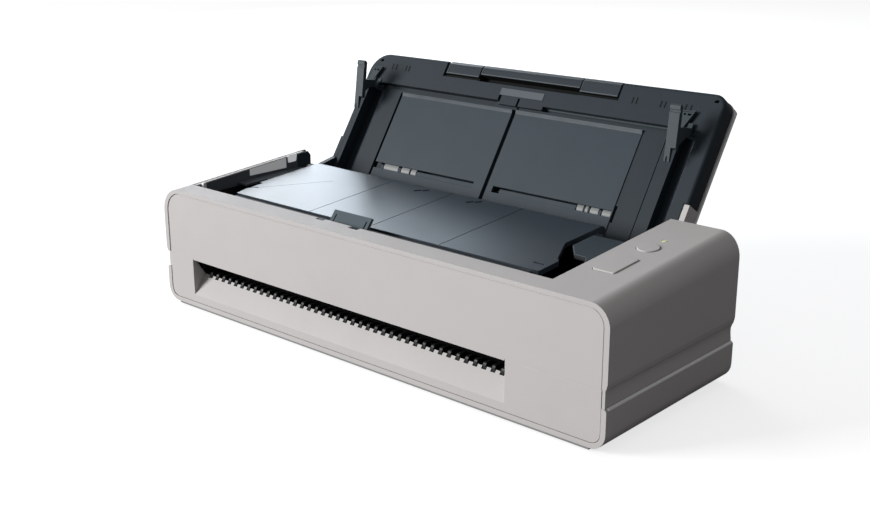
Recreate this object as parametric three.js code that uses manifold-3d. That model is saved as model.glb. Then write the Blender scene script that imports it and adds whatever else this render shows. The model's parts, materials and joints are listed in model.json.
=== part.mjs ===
// Compact counter-top document scanner with a fold-back chute cover.
// Millimetres, +Z up, front face towards -Y, +X to the operator's right.
// Every solid is written in body coordinates (X 0..296 left to right, Y 0..105 front
// to back, Z 0 on the table) and the whole group is shifted so that the origin lies
// under the middle of the object with the cover open.
import * as THREE from 'three';
import { mergeVertices } from 'three/addons/utils/BufferGeometryUtils.js';
import Module from 'manifold-3d';

const wasm = await Module();
wasm.setup();

// ---------------------------------------------------------------- driving sizes
const W = 296;            // body width
const D = 105;            // body depth
const ZF = 66.73;         // top surface height at the front edge
const SLOPE = 0.0714;     // rise of the top surface per mm towards the back
const Z_SPLIT = 30;       // lower edge of the upper shell
const Z_BASE_TOP = 21.5;  // upper edge of the base shell
const Z_BASE_LOW = 2.0;   // lower edge of the base shell
const R_TOP = 13.5;       // long top corner radius, left end
const R_DIFF = 3.5;       // the right-hand corner is this much tighter
const R_BOT = 8;          // long bottom corner radius
const WALL = 2.2;
const FRONT_WALL = 3.6;
const OPEN_X0 = 12.0, OPEN_X1 = 258.7, OPEN_Y0 = 11.2; // top opening
const BACK_LOW = 62;      // back wall height behind the opening
const BACK_GAP = 48;      // back wall height where sheets pass over it
const NOTCH_Y = 97.5;      // left wall ends here
const SLOT_X0 = 22.8, SLOT_X1 = 242.1, SLOT_TOP = 28.8, SCOOP_LOW = 8.8;
const SCOOP_Y = 8.5, SCOOP_Z = 19.0;
const PINCH_Z = 27.9;     // axis height of the pinch rollers
const TOOTH_PITCH = 5.3, TOOTH_N = 41;
const HINGE_Y = 98.3, HINGE_Z = 59.9;   // chute cover hinge axis
const LEAN = 33.4;                  // open cover leans back this far from upright, degrees
const COVER_X0 = 14.5, COVER_X1 = 258.4, COVER_V0 = -8;
const COVER_VL = 85.9, COVER_VR = 87.6;   // top edge of the cover at its left and right end
const U_SHIFT = 0.7;                // cover planes are written this far behind their place
const U_RIM = -11.5, U_TRAY = -21.3, U_SHELL = -21.6, U_OUT = -23.5, U_PANEL = -13.1;
const BED_H = 61.0;                 // bed height at Y = 0, same slope as the top
const GUIDE_L = 25.5, GUIDE_R = 242.5;
const STOP_Y = 13.4, STOP_Z = 63.4, STOP_ANGLE = 50;   // stopper flap hinge and raised angle

const ztop = (y) => ZF + SLOPE * y;
const zbed = (y) => BED_H + SLOPE * y;
const vtop = (x) => COVER_VL + (COVER_VR - COVER_VL) * (x - COVER_X0) / (COVER_X1 - COVER_X0);

// ---------------------------------------------------------------- small helpers
function solid(geo) {
  const g = geo.index ? geo.clone() : geo.clone();
  for (const k of Object.keys(g.attributes)) if (k !== 'position') g.deleteAttribute(k);
  const m = mergeVertices(g, 1e-4);
  return new wasm.Manifold(new wasm.Mesh({
    numProp: 3,
    vertProperties: new Float32Array(m.attributes.position.array),
    triVerts: new Uint32Array(m.index.array),
  }));
}
function geometry(man) {
  const m = man.getMesh();
  const g = new THREE.BufferGeometry();
  const n = m.numProp;
  const src = m.vertProperties;
  const pos = new Float32Array((src.length / n) * 3);
  for (let i = 0; i < src.length / n; i++) {
    pos[3 * i] = src[n * i]; pos[3 * i + 1] = src[n * i + 1]; pos[3 * i + 2] = src[n * i + 2];
  }
  g.setAttribute('position', new THREE.BufferAttribute(pos, 3));
  g.setIndex(new THREE.BufferAttribute(new Uint32Array(m.triVerts), 1));
  g.computeVertexNormals();
  return g;
}
const cut = (a, ...b) => b.reduce((s, t) => s.subtract(t), a);
const join = (a, ...b) => b.reduce((s, t) => s.add(t), a);

// polygon with rounded corners: points are [a, b, radius]
function rounded(points, seg = 5) {
  const out = [];
  const n = points.length;
  for (let i = 0; i < n; i++) {
    const p = points[i], q = points[(i + n - 1) % n], s = points[(i + 1) % n];
    const r = p[2] || 0;
    if (!r) { out.push([p[0], p[1]]); continue; }
    const a = new THREE.Vector2(q[0] - p[0], q[1] - p[1]).normalize();
    const b = new THREE.Vector2(s[0] - p[0], s[1] - p[1]).normalize();
    const half = Math.acos(THREE.MathUtils.clamp(a.dot(b), -1, 1)) / 2;
    const t = r / Math.tan(half);
    const c = new THREE.Vector2().addVectors(a, b).normalize().multiplyScalar(r / Math.sin(half));
    const cx = p[0] + c.x, cy = p[1] + c.y;
    const a0 = Math.atan2(p[1] + a.y * t - cy, p[0] + a.x * t - cx);
    let a1 = Math.atan2(p[1] + b.y * t - cy, p[0] + b.x * t - cx);
    while (a1 - a0 > Math.PI) a1 -= 2 * Math.PI;
    while (a1 - a0 < -Math.PI) a1 += 2 * Math.PI;
    for (let k = 0; k <= seg; k++) {
      const w = a0 + (a1 - a0) * k / seg;
      out.push([cx + r * Math.cos(w), cy + r * Math.sin(w)]);
    }
  }
  return out;
}
const rect = (a0, b0, a1, b1, r = 0, seg = 4) =>
  rounded([[a0, b0, r], [a1, b0, r], [a1, b1, r], [a0, b1, r]], seg);
const circle = (a, b, r, n = 20, turn = 0) => Array.from({ length: n }, (_, i) =>
  [a + r * Math.cos(turn + 2 * Math.PI * i / n), b + r * Math.sin(turn + 2 * Math.PI * i / n)]);
function extrude(points, depth, map) {
  const shape = new THREE.Shape(points.map((p) => new THREE.Vector2(p[0], p[1])));
  const g = new THREE.ExtrudeGeometry(shape, { depth, steps: 1, bevelEnabled: false });
  const p = g.attributes.position;
  for (let i = 0; i < p.count; i++) {
    const v = map(p.getX(i), p.getY(i), p.getZ(i));
    p.setXYZ(i, v[0], v[1], v[2]);
  }
  return g;
}
// prisms along X (points are y,z), along Y (points are x,z) and along Z (points are x,y)
const gX = (pts, x0, x1) => extrude(pts, x1 - x0, (a, b, c) => [c + x0, a, b]);
const gY = (pts, y0, y1) => extrude(pts, y1 - y0, (a, b, c) => [a, y1 - c, b]);
const gZ = (pts, z0, z1) => extrude(pts, z1 - z0, (a, b, c) => [a, b, c + z0]);
const pX = (pts, x0, x1) => solid(gX(pts, x0, x1));
const pY = (pts, y0, y1) => solid(gY(pts, y0, y1));
const pZ = (pts, z0, z1) => solid(gZ(pts, z0, z1));
const box = (x0, x1, y0, y1, z0, z1) => {
  const g = new THREE.BoxGeometry(x1 - x0, y1 - y0, z1 - z0);
  g.translate((x0 + x1) / 2, (y0 + y1) / 2, (z0 + z1) / 2);
  return solid(g);
};
// plate in the a-b plane between heights c0 and c1 whose outer edge at c1 is rolled over by b
function rolled(points, c0, c1, b, segs) {
  const dir = Math.sign(c1 - c0), t = Math.abs(c1 - c0);
  const shape = new THREE.Shape(points.map((p) => new THREE.Vector2(p[0], p[1])));
  const g = new THREE.ExtrudeGeometry(shape, { depth: t, steps: 1, bevelEnabled: true, bevelThickness: b, bevelSize: b, bevelOffset: -b, bevelSegments: segs });
  const p = g.attributes.position;
  for (let i = 0; i < p.count; i++) p.setZ(i, dir > 0 ? c0 - b + p.getZ(i) : c1 + b + p.getZ(i));
  const s = solid(g);
  return cut(s, dir > 0 ? box(-50, 400, -50, 200, c0 - 4 * b - 5, c0) : box(-50, 400, -50, 200, c0, c0 + 4 * b + 5));
}
// turned piece about an axis along X: profile is [[x, r], ...], starting and ending on the axis
function turned(profile, y, z, seg = 20) {
  const g = new THREE.LatheGeometry(profile.map((p) => new THREE.Vector2(p[1], p[0])), seg);
  const m = new THREE.Matrix4().makeRotationZ(-Math.PI / 2);
  g.applyMatrix4(m);
  g.translate(0, y, z);
  const s = solid(g);
  return s;
}
const rod = (x0, x1, y, z, r, seg = 16) => pX(circle(y, z, r, seg), x0, x1);
const pipe = (x0, x1, y, z, ro, ri, seg = 20) => cut(rod(x0, x1, y, z, ro, seg), rod(x0 - 1, x1 + 1, y, z, ri, seg));
// lifts the top of an upright prism to follow the rising top surface
function rise(geo) {
  const p = geo.attributes.position;
  for (let i = 0; i < p.count; i++) {
    const z = p.getZ(i);
    const k = Math.max(0, (z - Z_SPLIT) / (ZF - Z_SPLIT));
    p.setZ(i, z + SLOPE * p.getY(i) * k);
  }
  return geo;
}
function gear(x0, x1, y, z, pitch, teeth, bore, turn = 0) {
  const pts = [];
  const tip = pitch - 0.18, root = pitch - 1.35;
  for (let i = 0; i < teeth; i++) {
    const a = turn + 2 * Math.PI * i / teeth, h = 2 * Math.PI / teeth;
    for (const [f, r] of [[-0.27, root], [-0.13, tip], [0.13, tip], [0.27, root]])
      pts.push([y + r * Math.cos(a + f * h), z + r * Math.sin(a + f * h)]);
  }
  return cut(pX(pts, x0, x1), rod(x0 - 1, x1 + 1, y, z, bore, 12));
}

// ---------------------------------------------------------------- materials
const mat = (color, roughness = 0.6, metalness = 0) => new THREE.MeshStandardMaterial({ color, roughness, metalness });
const SHELL = () => mat(0xcbc7c6, 0.55);
const BASE = () => mat(0x55565a, 0.6);
const SLATE = () => mat(0x434c54, 0.45);
const DARK = () => mat(0x1b1c1f, 0.6);
const WHITE = () => mat(0xd8d8d6, 0.4);
const STEEL = () => mat(0xb4b7ba, 0.3, 1);
const RUBBER = () => mat(0x2a2a2c, 0.85);
const GLASS = () => mat(0x9fb4b0, 0.08);
const BOARD = () => mat(0x2f5a3c, 0.5);

const scanner = new THREE.Group();
scanner.position.set(-W / 2, -82.6, 0);
const cover = new THREE.Group();      // cover coordinates: x, v up the cover, u towards the operator
cover.position.set(0, HINGE_Y, HINGE_Z);
cover.rotation.x = THREE.MathUtils.degToRad(90 - LEAN);
scanner.add(cover);
function piece(name, man, material, parent = scanner) {
  const mesh = new THREE.Mesh(geometry(man), material);
  mesh.name = name;
  parent.add(mesh);
  return mesh;
}

// ================================================================ outer shells
const upOutline = (i, zlow, zhigh, r) => rounded([[i, zlow, 0], [W - i, zlow, 0], [W - i, zhigh, r - R_DIFF], [i, zhigh, r]], 9);
// outer skin: its lower edge curves in towards the parting
const skin = rounded([[0.8, Z_SPLIT, 0], [W - 0.8, Z_SPLIT, 0], [W - 0.35, Z_SPLIT + 1.4, 0], [W - 0.1, Z_SPLIT + 2.4, 0], [W, Z_SPLIT + 3.4, 0],
  [W, ZF, R_TOP - R_DIFF], [0, ZF, R_TOP], [0, Z_SPLIT + 3.4, 0], [0.1, Z_SPLIT + 2.4, 0], [0.35, Z_SPLIT + 1.4, 0]], 9);
{
  const outer = solid(rise(gY(skin, 0, D)));
  const inner = solid(rise(gY(upOutline(WALL, Z_SPLIT - 1, ZF - WALL, R_TOP - WALL), FRONT_WALL, D - WALL)));
  let s = cut(outer, inner);
  // console inner wall, left lip, front lip, left end wall
  s = join(s,
    box(OPEN_X1, OPEN_X1 + 1.8, FRONT_WALL - 0.5, D - 1, Z_SPLIT, 63),
    pX([[2.5, 61], [D - 1, 61], [D - 1, ztop(D - 1) - 1], [2.5, ztop(2.5) - 1]], OPEN_X1, OPEN_X1 + 1.8),
    pX([[2.5, ztop(2.5) - 5.2], [NOTCH_Y, ztop(NOTCH_Y) - 5.2], [NOTCH_Y, ztop(NOTCH_Y) - 1], [2.5, ztop(2.5) - 1]], OPEN_X0 - 1.8, OPEN_X0),
    box(11, OPEN_X1 + 1, OPEN_Y0 - 1.6, OPEN_Y0, ZF - 5, ZF - 0.6),
    pX([[NOTCH_Y - 1.8, Z_SPLIT], [NOTCH_Y, Z_SPLIT], [NOTCH_Y, ztop(NOTCH_Y) - 3], [NOTCH_Y - 1.8, ztop(NOTCH_Y) - 3]], 1, OPEN_X0),
    box(1, OPEN_X0, NOTCH_Y - 1, D - 1, BACK_LOW - 2, BACK_LOW));
  // rounded end of the left wall follows the outer skin
  s = s.intersect(outer);
  s = cut(s,
    box(OPEN_X0, OPEN_X1, OPEN_Y0, D + 5, BACK_LOW, 90),
    pX([[OPEN_Y0, ZF - 8], [D + 5, ZF - 8], [D + 5, 95], [OPEN_Y0, 95]], OPEN_X0, OPEN_X1),
    box(-2, OPEN_X0 + 1, NOTCH_Y, D + 5, BACK_LOW, 95),
    pX([[95.2, ztop(95.2)], [NOTCH_Y + 0.2, 70.4], [NOTCH_Y + 3, 70.4], [NOTCH_Y + 3, 80], [95.2, 80]], -1, OPEN_X0 + 0.1),
    box(OPEN_X0, OPEN_X1, 98, D + 5, BACK_GAP, 90),
    box(14.2, 18.5, 93, D + 2, 49, 70),
    box(254.5, 258.7, 93, D + 2, 49, 70),
    // seat for the front panel
    pY(rounded([[2.9, 20, 0], [293.3, 20, 0], [293.3, 64.6, 7.8], [2.9, 64.6, 11]], 8), -1, 1.9),
    // finger notches in the front lip beside the stopper
    box(113.2, 118.8, 9.0, 12, ZF - 1.4, 72), box(137.0, 143.0, 8.6, 12, ZF - 1.4, 72),
    // openings in the console for buttons and lamp
    pZ(circle(271.5, 65.3, 5.7, 24), 40, 90),
    pZ(rect(265.0, 30.0, 277.2, 50.4, 1.2), 40, 90),
    pZ(circle(272.5, 77, 1.6, 12), 40, 90),
    // way through for the motor nose
    rod(258, 261, 47, 32.38, 5.2, 16),
    // ports in the back wall
    box(264, 276.4, D - 4, D + 1, 36, 45.4),
    pY(circle(284, 41, 4.9, 18), D - 4, D + 1),
    // mouth of the front slot
    box(SLOT_X0 - 0.2, SLOT_X1 + 0.2, -1, FRONT_WALL + 1, 28, 30.5));
  piece('upper_shell', s, SHELL());
}
{
  const outline = rounded([[3.2, 29.6, 0], [23.1, 29.6, 0], [23.1, SLOT_TOP, 0], [241.8, SLOT_TOP, 0], [241.8, 29.6, 0],
    [293.0, 29.6, 0], [293.0, 64.3, 7.5], [3.2, 64.3, 10.7]], 8);
  piece('front_panel', pY(outline, 0.3, 1.55), SHELL());
}
{
  const out = (i, zl, zh, r) => rounded([[i, zl, r], [W - i, zl, r], [W - i, zh, 0], [i, zh, 0]], 6);
  // the rounded lip of the base rises towards the recessed band
  const outer = pY(rounded([[0, Z_BASE_LOW, R_BOT], [W, Z_BASE_LOW, R_BOT], [W, Z_BASE_TOP - 1.3, 0], [W - 0.35, Z_BASE_TOP - 0.5, 0],
    [W - 1.2, Z_BASE_TOP, 0], [1.2, Z_BASE_TOP, 0], [0.35, Z_BASE_TOP - 0.5, 0], [0, Z_BASE_TOP - 1.3, 0]], 6), 0, D);
  const inner = pY(out(WALL, Z_BASE_LOW + WALL, Z_BASE_TOP + 2, R_BOT - WALL), FRONT_WALL, D - WALL);
  let s = cut(outer, inner,
    box(13, W - 13, 6, D - 6, 0, 6),
    pY(rounded([[2.9, 4.4, 5], [293.3, 4.4, 5], [293.3, 25, 0], [2.9, 25, 0]], 4), -1, 1.9),
    box(20.4, 244.5, -1, FRONT_WALL + 1, 6.2, 25));
  // recessed band above it, under the upper shell
  const i = 1.3;
  const cove = [[1.2, 19.5], [1.2, 21.5], [1.15, 22.6], [1.4, 24.2], [1.55, 26.2], [1.5, 28.0], [1.2, 29.0], [0.9, Z_SPLIT - 0.3]];
  const band = [...cove, ...cove.map(([x, z]) => [W - x, z]).reverse()];
  s = join(s, cut(pY(band, 1.3, D - 0.3),
    box(i + 2.2, W - i - 2.2, 4.2, D - i - 2.2, 18, 32),
    box(2.9, 293.3, 0, 1.9, 18, 32),
    box(20.4, 244.5, 0, 6, 18, 32)));
  piece('base_shell', s, SHELL());
}
{
  // lower front panel with the scoop, its cheeks and the comb of light teeth
  let s = pY(rounded([[3.2, 4.7, 4.8], [293.0, 4.7, 4.8], [293.0, 29.3, 0], [3.2, 29.3, 0]], 4), 0.3, 1.55);
  s = cut(s, box(SLOT_X0, SLOT_X1, -1, 3, SCOOP_LOW, 40));
  const floor = [[0.3, SCOOP_LOW], [SCOOP_Y, SCOOP_Z], [SCOOP_Y, SCOOP_Z - 2.6], [1.2, 6.9], [0.3, 6.9]];
  const cheek = [[0.3, 6.9], [1.2, 6.9], [SCOOP_Y, SCOOP_Z - 2.6], [SCOOP_Y, SCOOP_Z + 0.2], [1.5, 28.9], [1.5, 29.3], [0.3, 29.3]];
  s = join(s, pX(floor, SLOT_X0 - 1.8, SLOT_X1 + 1.8), pX(cheek, SLOT_X0 - 1.8, SLOT_X0), pX(cheek, SLOT_X1, SLOT_X1 + 1.8));
  const gaps = [];
  for (let k = 0; k < TOOTH_N; k++) {
    const x = SLOT_X0 + 3.9 + k * TOOTH_PITCH;
    gaps.push(box(x, x + 2.7, 7.5, 10, 12, 22));
  }
  s = cut(s, ...gaps);
  piece('scoop_panel', s, SHELL());
}
piece('bottom_plate', (() => {
  let s = pZ(rect(13.4, 6.4, W - 13.4, D - 6.4, 3), 1.3, 3.3);
  s = join(s, box(11.6, 287.6, 3.9, 8, 1.3, 1.8), box(11.6, 287.6, 97, 101, 1.3, 1.8));
  return s;
})(), BASE());
for (const [n, x, y] of [['foot_front_left', 26, 14], ['foot_front_right', 270, 14], ['foot_rear_left', 26, 91], ['foot_rear_right', 270, 91]])
  piece(n, pZ(circle(x, y, 6, 20), 0, 1.0), RUBBER());

// ================================================================ inner frame
{
  // dark deck: floor and walls under the top opening
  let s = join(cut(box(12.3, 258.3, 11.6, 95, 44.5, 46.3), box(24, 241, 78, 96, 44, 47)),
    pX([[11.6, 45], [92.6, 45], [92.6, ztop(92.6) - 0.4], [11.6, ztop(11.6) - 0.4]], 12.3, 14.2),
    pX([[11.6, 45], [79, 45], [79, ztop(79) - 3.8], [11.6, ztop(11.6) - 3.8]], 256.7, 258.3),
    box(12.3, 258.3, 11.6, 13.2, 45, ZF - 3.2),
    // ears that carry the bed hinge rod
    box(29, 31, 25.4, 30.6, 45, 57.2), box(236, 238, 25.4, 30.6, 45, 57.2),
    rod(29, 31, 28, 57.2, 2.6, 16), rod(236, 238, 28, 57.2, 2.6, 16),
    // ears that carry the stopper flap
    box(113.8, 117.0, 11.6, 15.6, 60, STOP_Z), box(144.4, 147.6, 11.6, 15.6, 60, STOP_Z));
  s = cut(s, box(117.0, 144.4, 11, 13.6, 60.6, 70), rod(113, 148, STOP_Y, STOP_Z, 1.4, 14),
    rod(28, 32, 28, 57.2, 1.85, 12), rod(235, 239, 28, 57.2, 1.85, 12));
  piece('inner_deck', s, DARK());
}
piece('bed_hinge_rod', rod(28.7, 239.2, 28, 57.2, 1.5, 12), STEEL());
{
  // bed of the output tray: hinged at its front edge
  const right = [[239.2, 27.2], [239.2, 42.2], [236.4, 45.2], [227.6, 62.8], [228.4, 96]];
  const outline = [[29.6, 27.2], ...right, [26.5, 96], [26.5, 47.6], [28.8, 47.2], [28.8, 34]];
  let s = cut(pZ(outline, 50, 80),
    pX([[0, zbed(0)], [120, zbed(120)], [120, 90], [0, 90]], 0, 300),
    pX([[0, zbed(0) - 2.6], [120, zbed(120) - 2.6], [120, 40], [0, 40]], 0, 300));
  // knuckles on the rod, rounded rear lip
  for (const x of [32.6, 128, 228.5])
    s = join(s, cut(pX([[25.6, 60], [25.2, 57.2], [26.2, 55.2], [28, 54.6], [29.8, 55.2], [30.8, 57.2], [33, 62.6], [27, 62.2]], x, x + 6), rod(x - 1, x + 7, 28, 57.2, 1.85, 12)));
  s = join(s,
    pX([[92.5, zbed(92.5) - 2.3], [95.6, zbed(95.6) - 0.02], [96, 66.6], [96, 62.6], [94.4, 62.6]], 26.5, 228.4));
  piece('stacker_bed', s, SLATE());
}
{
  // fixed dark cover beside the bed, over the drive side of the feeder
  const outline = [[250.6, 16], [256.3, 16], [256.3, 79.6], [232.2, 79.6], [232.2, 62.6], [239.6, 53.6], [246.2, 53.4], [250.6, 46]];
  let s = cut(pZ(outline, 50, 80),
    pX([[0, zbed(0)], [120, zbed(120)], [120, 90], [0, 90]], 0, 300),
    pX([[0, zbed(0) - 2.4], [120, zbed(120) - 2.4], [120, 40], [0, 40]], 0, 300));
  s = join(s, box(250.8, 256.2, 20, 44, 46.7, 61), box(233.5, 239, 64, 78, 46.7, 63.5));
  piece('drive_side_cover', s, SLATE());
}
piece('stopper_flap', (() => {
  const a = THREE.MathUtils.degToRad(STOP_ANGLE);
  const y0 = STOP_Y, z0 = STOP_Z, L = 9.34;
  const at = (s, n) => [y0 + s * Math.cos(a) - n * Math.sin(a), z0 + s * Math.sin(a) + n * Math.cos(a)];
  return join(pX([at(0, -0.8), at(L, -0.8), at(L, 0.8), at(0, 0.8)], 117.7, 143.7), rod(114.2, 147.1, y0, z0, 1.1, 12));
})(), SLATE());

for (const [n, x0, x1] of [['left_frame', 18.4, 20.0], ['right_frame', 255.0, 256.6]]) {
  let s = pX([[9, 5.2], [96, 5.2], [100, 12], [100, 44.1], [9, 44.1]], x0, x1);
  for (const [y, z, r] of [[28, 13.2, 3.2], [66, 13.2, 3.2], [91, 39, 3.2]]) s = cut(s, rod(x0 - 1, x1 + 1, y, z, r, 14));
  if (x0 > 100) s = cut(s, rod(x0 - 1, x1 + 1, 47, 32.4, 5.4, 16));
  if (x0 > 100) s = join(s, rod(244.8, x1, 47, 17, 2, 12));
  piece(n, s, STEEL());
}
for (const [n, x0, x1] of [['hinge_bracket_left', 18.3, 21.3], ['hinge_bracket_right', 251.5, 254.5]]) {
  const s = cut(pX([[83, 46.7], [101.8, 46.7], [102.4, 58], [102, 62.8], [98.6, 64.4], [83, 64.2]], x0, x1),
    rod(x0 - 1, x1 + 1, HINGE_Y, HINGE_Z, 2.3, 16));
  piece(n, s, DARK());
}
piece('hinge_pin_left', rod(14.6, 22.2, HINGE_Y, HINGE_Z, 2, 16), STEEL());
piece('hinge_pin_right', rod(250.6, 258.4, HINGE_Y, HINGE_Z, 2, 16), STEEL());

// ================================================================ paper path
{
  // lower guide behind the scoop: black ribs stand between the light teeth
  let s = box(21.4, 243.6, 10.4, 20.6, 13.2, 19.0);
  for (let k = 0; k < TOOTH_N; k++) {
    const x = SLOT_X0 + 4.3 + k * TOOTH_PITCH;
    s = join(s, pX([[8.1, 15.5], [8.1, 19.4], [8.7, 20.5], [9.6, 20.9], [13.5, 20.4], [16, 19.0], [16, 15], [9, 14]], x, x + 1.9));
  }
  piece('lower_guide', s, DARK());
}
{
  let s = pX([[3.9, 44.1], [3.9, 29.4], [10.5, 26.2], [21, 25.7], [21, 38], [60.5, 38], [60.5, 32.2], [80, 32.2], [83, 35], [83, 44.1]], 21.4, 243.6);
  // hangers for the two pinch rollers
  for (const x of [26.8, 236])
    s = join(s, cut(box(x, x + 2.2, 25.8, 30.2, 25.8, 38.5), rod(x - 1, x + 3, 28, PINCH_Z, 1.4, 12)),
      cut(box(x, x + 2.2, 63.8, 68.2, 25.8, 33), rod(x - 1, x + 3, 66, PINCH_Z, 1.4, 12)));
  piece('upper_guide', s, DARK());
}
piece('lower_sensor', cut(box(24, 241, 36.5, 50.5, 8.2, 19.2), box(26, 239, 38.5, 48.5, 17.2, 20)), DARK());
piece('lower_glass', box(26.3, 238.7, 38.8, 48.2, 18.4, 19.6), GLASS());
piece('upper_sensor', cut(box(24, 241, 43.5, 57.5, 24.8, 37.6), box(26, 239, 45.5, 55.5, 24, 26.8)), DARK());
piece('upper_glass', box(26.3, 238.7, 45.8, 55.2, 24.4, 25.6), GLASS());
{
  const pts = [];
  const c = [80, 41];
  for (let k = 0; k <= 8; k++) { const a = -Math.PI / 2 * (1 - k / 8); pts.push([c[0] + 22.2 * Math.cos(a), c[1] + 22.2 * Math.sin(a)]); }
  pts.push([102.4, 43.6], [101.2, 43.6]);
  for (let k = 8; k >= 0; k--) { const a = -Math.PI / 2 * (1 - k / 8); pts.push([c[0] + 20.6 * Math.cos(a), c[1] + 20.6 * Math.sin(a)]); }
  piece('turn_guide', pX(pts, 24, 241), DARK());
}
// driven rollers and their shafts, pinch rollers
piece('front_shaft', rod(17.2, 257.6, 28, 13.2, 2.4, 14), STEEL());
piece('front_roller', pipe(30, 235, 28, 13.2, 6.2, 2.75, 20), RUBBER());
piece('front_pinch_roller', join(rod(30, 235, 28, PINCH_Z, 3.6, 14), rod(26.4, 239.2, 28, PINCH_Z, 1.1, 10)), WHITE());
piece('rear_shaft', rod(17.2, 257.6, 66, 13.2, 2.4, 14), STEEL());
piece('rear_roller', pipe(30, 235, 66, 13.2, 6.2, 2.75, 20), RUBBER());
piece('rear_pinch_roller', join(rod(30, 235, 66, PINCH_Z, 3.6, 14), rod(26.4, 239.2, 66, PINCH_Z, 1.1, 10)), WHITE());
piece('feed_shaft', rod(17.2, 257.6, 91, 39, 2.4, 14), STEEL());
piece('feed_roller', pipe(104, 161, 91, 39, 6.3, 2.75, 20), RUBBER());
piece('separation_pad', box(116, 149, 98.4, 100.3, 41.2, 47.2), RUBBER());
// drive train on the right-hand side plate
piece('front_gear', gear(245.5, 251.5, 28, 13.2, 8, 16, 2.75, 0), WHITE());
piece('rear_gear', gear(245.5, 251.5, 66, 13.2, 8, 16, 2.75, 0), WHITE());
piece('idler_gear', gear(245.5, 251.5, 47, 17, 11.38, 23, 2.3, 0.05), WHITE());
piece('motor_pinion', gear(245.5, 251.5, 47, 32.38, 4, 8, 1.55, 0.1), STEEL());
piece('drive_motor', join(rod(262, 286, 47, 32.38, 10.5, 20), rod(244.6, 262.5, 47, 32.38, 1.25, 12), rod(257.2, 262.5, 47, 32.38, 4.6, 14)), STEEL());
// electronics at the console end
piece('main_board', box(263, 291, 8, 92, 7.5, 9.1), BOARD());
piece('usb_port', cut(box(264.3, 276.1, 95, 104.4, 36.3, 45.1), box(266.3, 274.1, 97, 106, 38.3, 43.1)), STEEL());
piece('power_inlet', cut(pY(circle(284, 41, 4.5, 18), 95, 104.4), pY(circle(284, 41, 3.2, 18), 97, 106)), DARK());
// buttons and lamp in the console
const tilt = (pts, z0, z1) => cut(pZ(pts, 50, 85),
  pX([[-5, ztop(-5) + z1], [120, ztop(120) + z1], [120, 95], [-5, 95]], 200, 300),
  pX([[-5, ztop(-5) + z0], [120, ztop(120) + z0], [120, 40], [-5, 40]], 200, 300));
piece('power_button', tilt(circle(271.5, 65.3, 5.3, 24), -5, 0.5), SHELL());
piece('scan_button', tilt(rect(265.4, 30.4, 276.8, 50.0, 1.0), -5, 0.5), SHELL());
piece('status_lamp', tilt(circle(272.5, 77, 1.25, 12), -4, 0.05), mat(0xd8dca0, 0.3));

// ================================================================ chute cover (x, v, u)
const S = new THREE.Group();
S.position.set(0, 0, U_SHIFT);
cover.add(S);
{
  const outline = rounded([[COVER_X0, COVER_V0, 4], [COVER_X1, COVER_V0, 4], [COVER_X1, COVER_VR, 8], [COVER_X0, COVER_VL, 13]], 8);
  let s = rolled(outline, U_SHELL, U_OUT, 0.8, 2);
  // hinge legs: from the lower corners to the hinge pins
  const leg = [[28, U_SHELL + 0.3], [28, -11.9], [15, -11.9], [4.6, -1.2], [3.6, 2.8], [0.6, 4.6], [-3, 3.6], [-4.6, 0.6], [-3.6, -3.4], [-1.4, -9], [-1.4, U_SHELL + 0.3], [-1.4, U_SHELL - 0.5], [28, U_SHELL - 0.5]];
  for (const [x0, x1] of [[14.8, 17.8], [255.0, 258.0]])
    s = join(s, cut(pX(leg, x0, x1), rod(x0 - 1, x1 + 1, 0, -U_SHIFT, 2.35, 16)));
  // short return at the back edge
  s = join(s, pX([[COVER_V0, U_SHELL], [-6, U_SHELL], [-6, -14.2], [COVER_V0, -14.2]], 19, 254));
  piece('cover_shell', s, SHELL(), S);
}
{
  const outline = rounded([[14.8, -5, 2], [257.7, -5, 2], [257.7, COVER_VR - 0.25, 7.4], [14.8, COVER_VL - 0.25, 12.7]], 8);
  let s = rolled(outline, U_TRAY, U_RIM, 1.7, 3);
  s = cut(s,
    box(0, 18.1, -6, 28.3, -30, 0), box(254.7, 270, -6, 28.3, -30, 0),
    box(20.5, 30, -6, 63.5, -19.6, 0), box(239, 250.4, -6, 63.5, -19.6, 0),
    box(29, 240, -6, 64.4, -13.6, 0),
    box(47.6, 217.2, -3.2, 62.9, -15.0, 0),
    // guide slots and the rack channel behind them
    box(19.2, 119.4, 65.4, 68.9, -13.3, 0), box(148.6, 246.6, 65.4, 68.9, -13.3, 0),
    box(19.2, 246.6, 65.3, 76.7, -15.9, -13.0),
    // space for the extension, open at the top edge
    box(74.2, 196.6, 22, 90, -25, -16.9), box(74.2, 196.6, 77.9, 90, -25, 0),
    // shallow recess under the handle and the deep finger slot under its grip
    box(74.2, 196.6, 76.7, 79, -12.8, 0), box(101.0, 171.0, 77.2, 79, -25, 0),
    pZ(circle(22.7, 80.6, 2, 14), -40, 0), pZ(circle(252.4, 82.8, 1.9, 14), -40, 0),
    // bays of the eject rollers
    box(52, 126, 11.5, 20.6, -21.0, 0), box(138, 218.4, 11.5, 20.6, -21.0, 0));
  piece('cover_tray', s, SLATE(), S);
}
piece('chute_panel_left', cut(pZ(rect(48.1, -2.8, 131.4, 62.6, 0), -14.7, U_PANEL), box(52.6, 124.6, 13.6, 18.4, -20, 0)), SLATE(), S);
piece('chute_panel_right', cut(pZ(rect(134.4, -2.8, 216.8, 62.6, 0), -14.7, U_PANEL), box(138.5, 220, 13.6, 18.4, -20, 0)), SLATE(), S);
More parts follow.
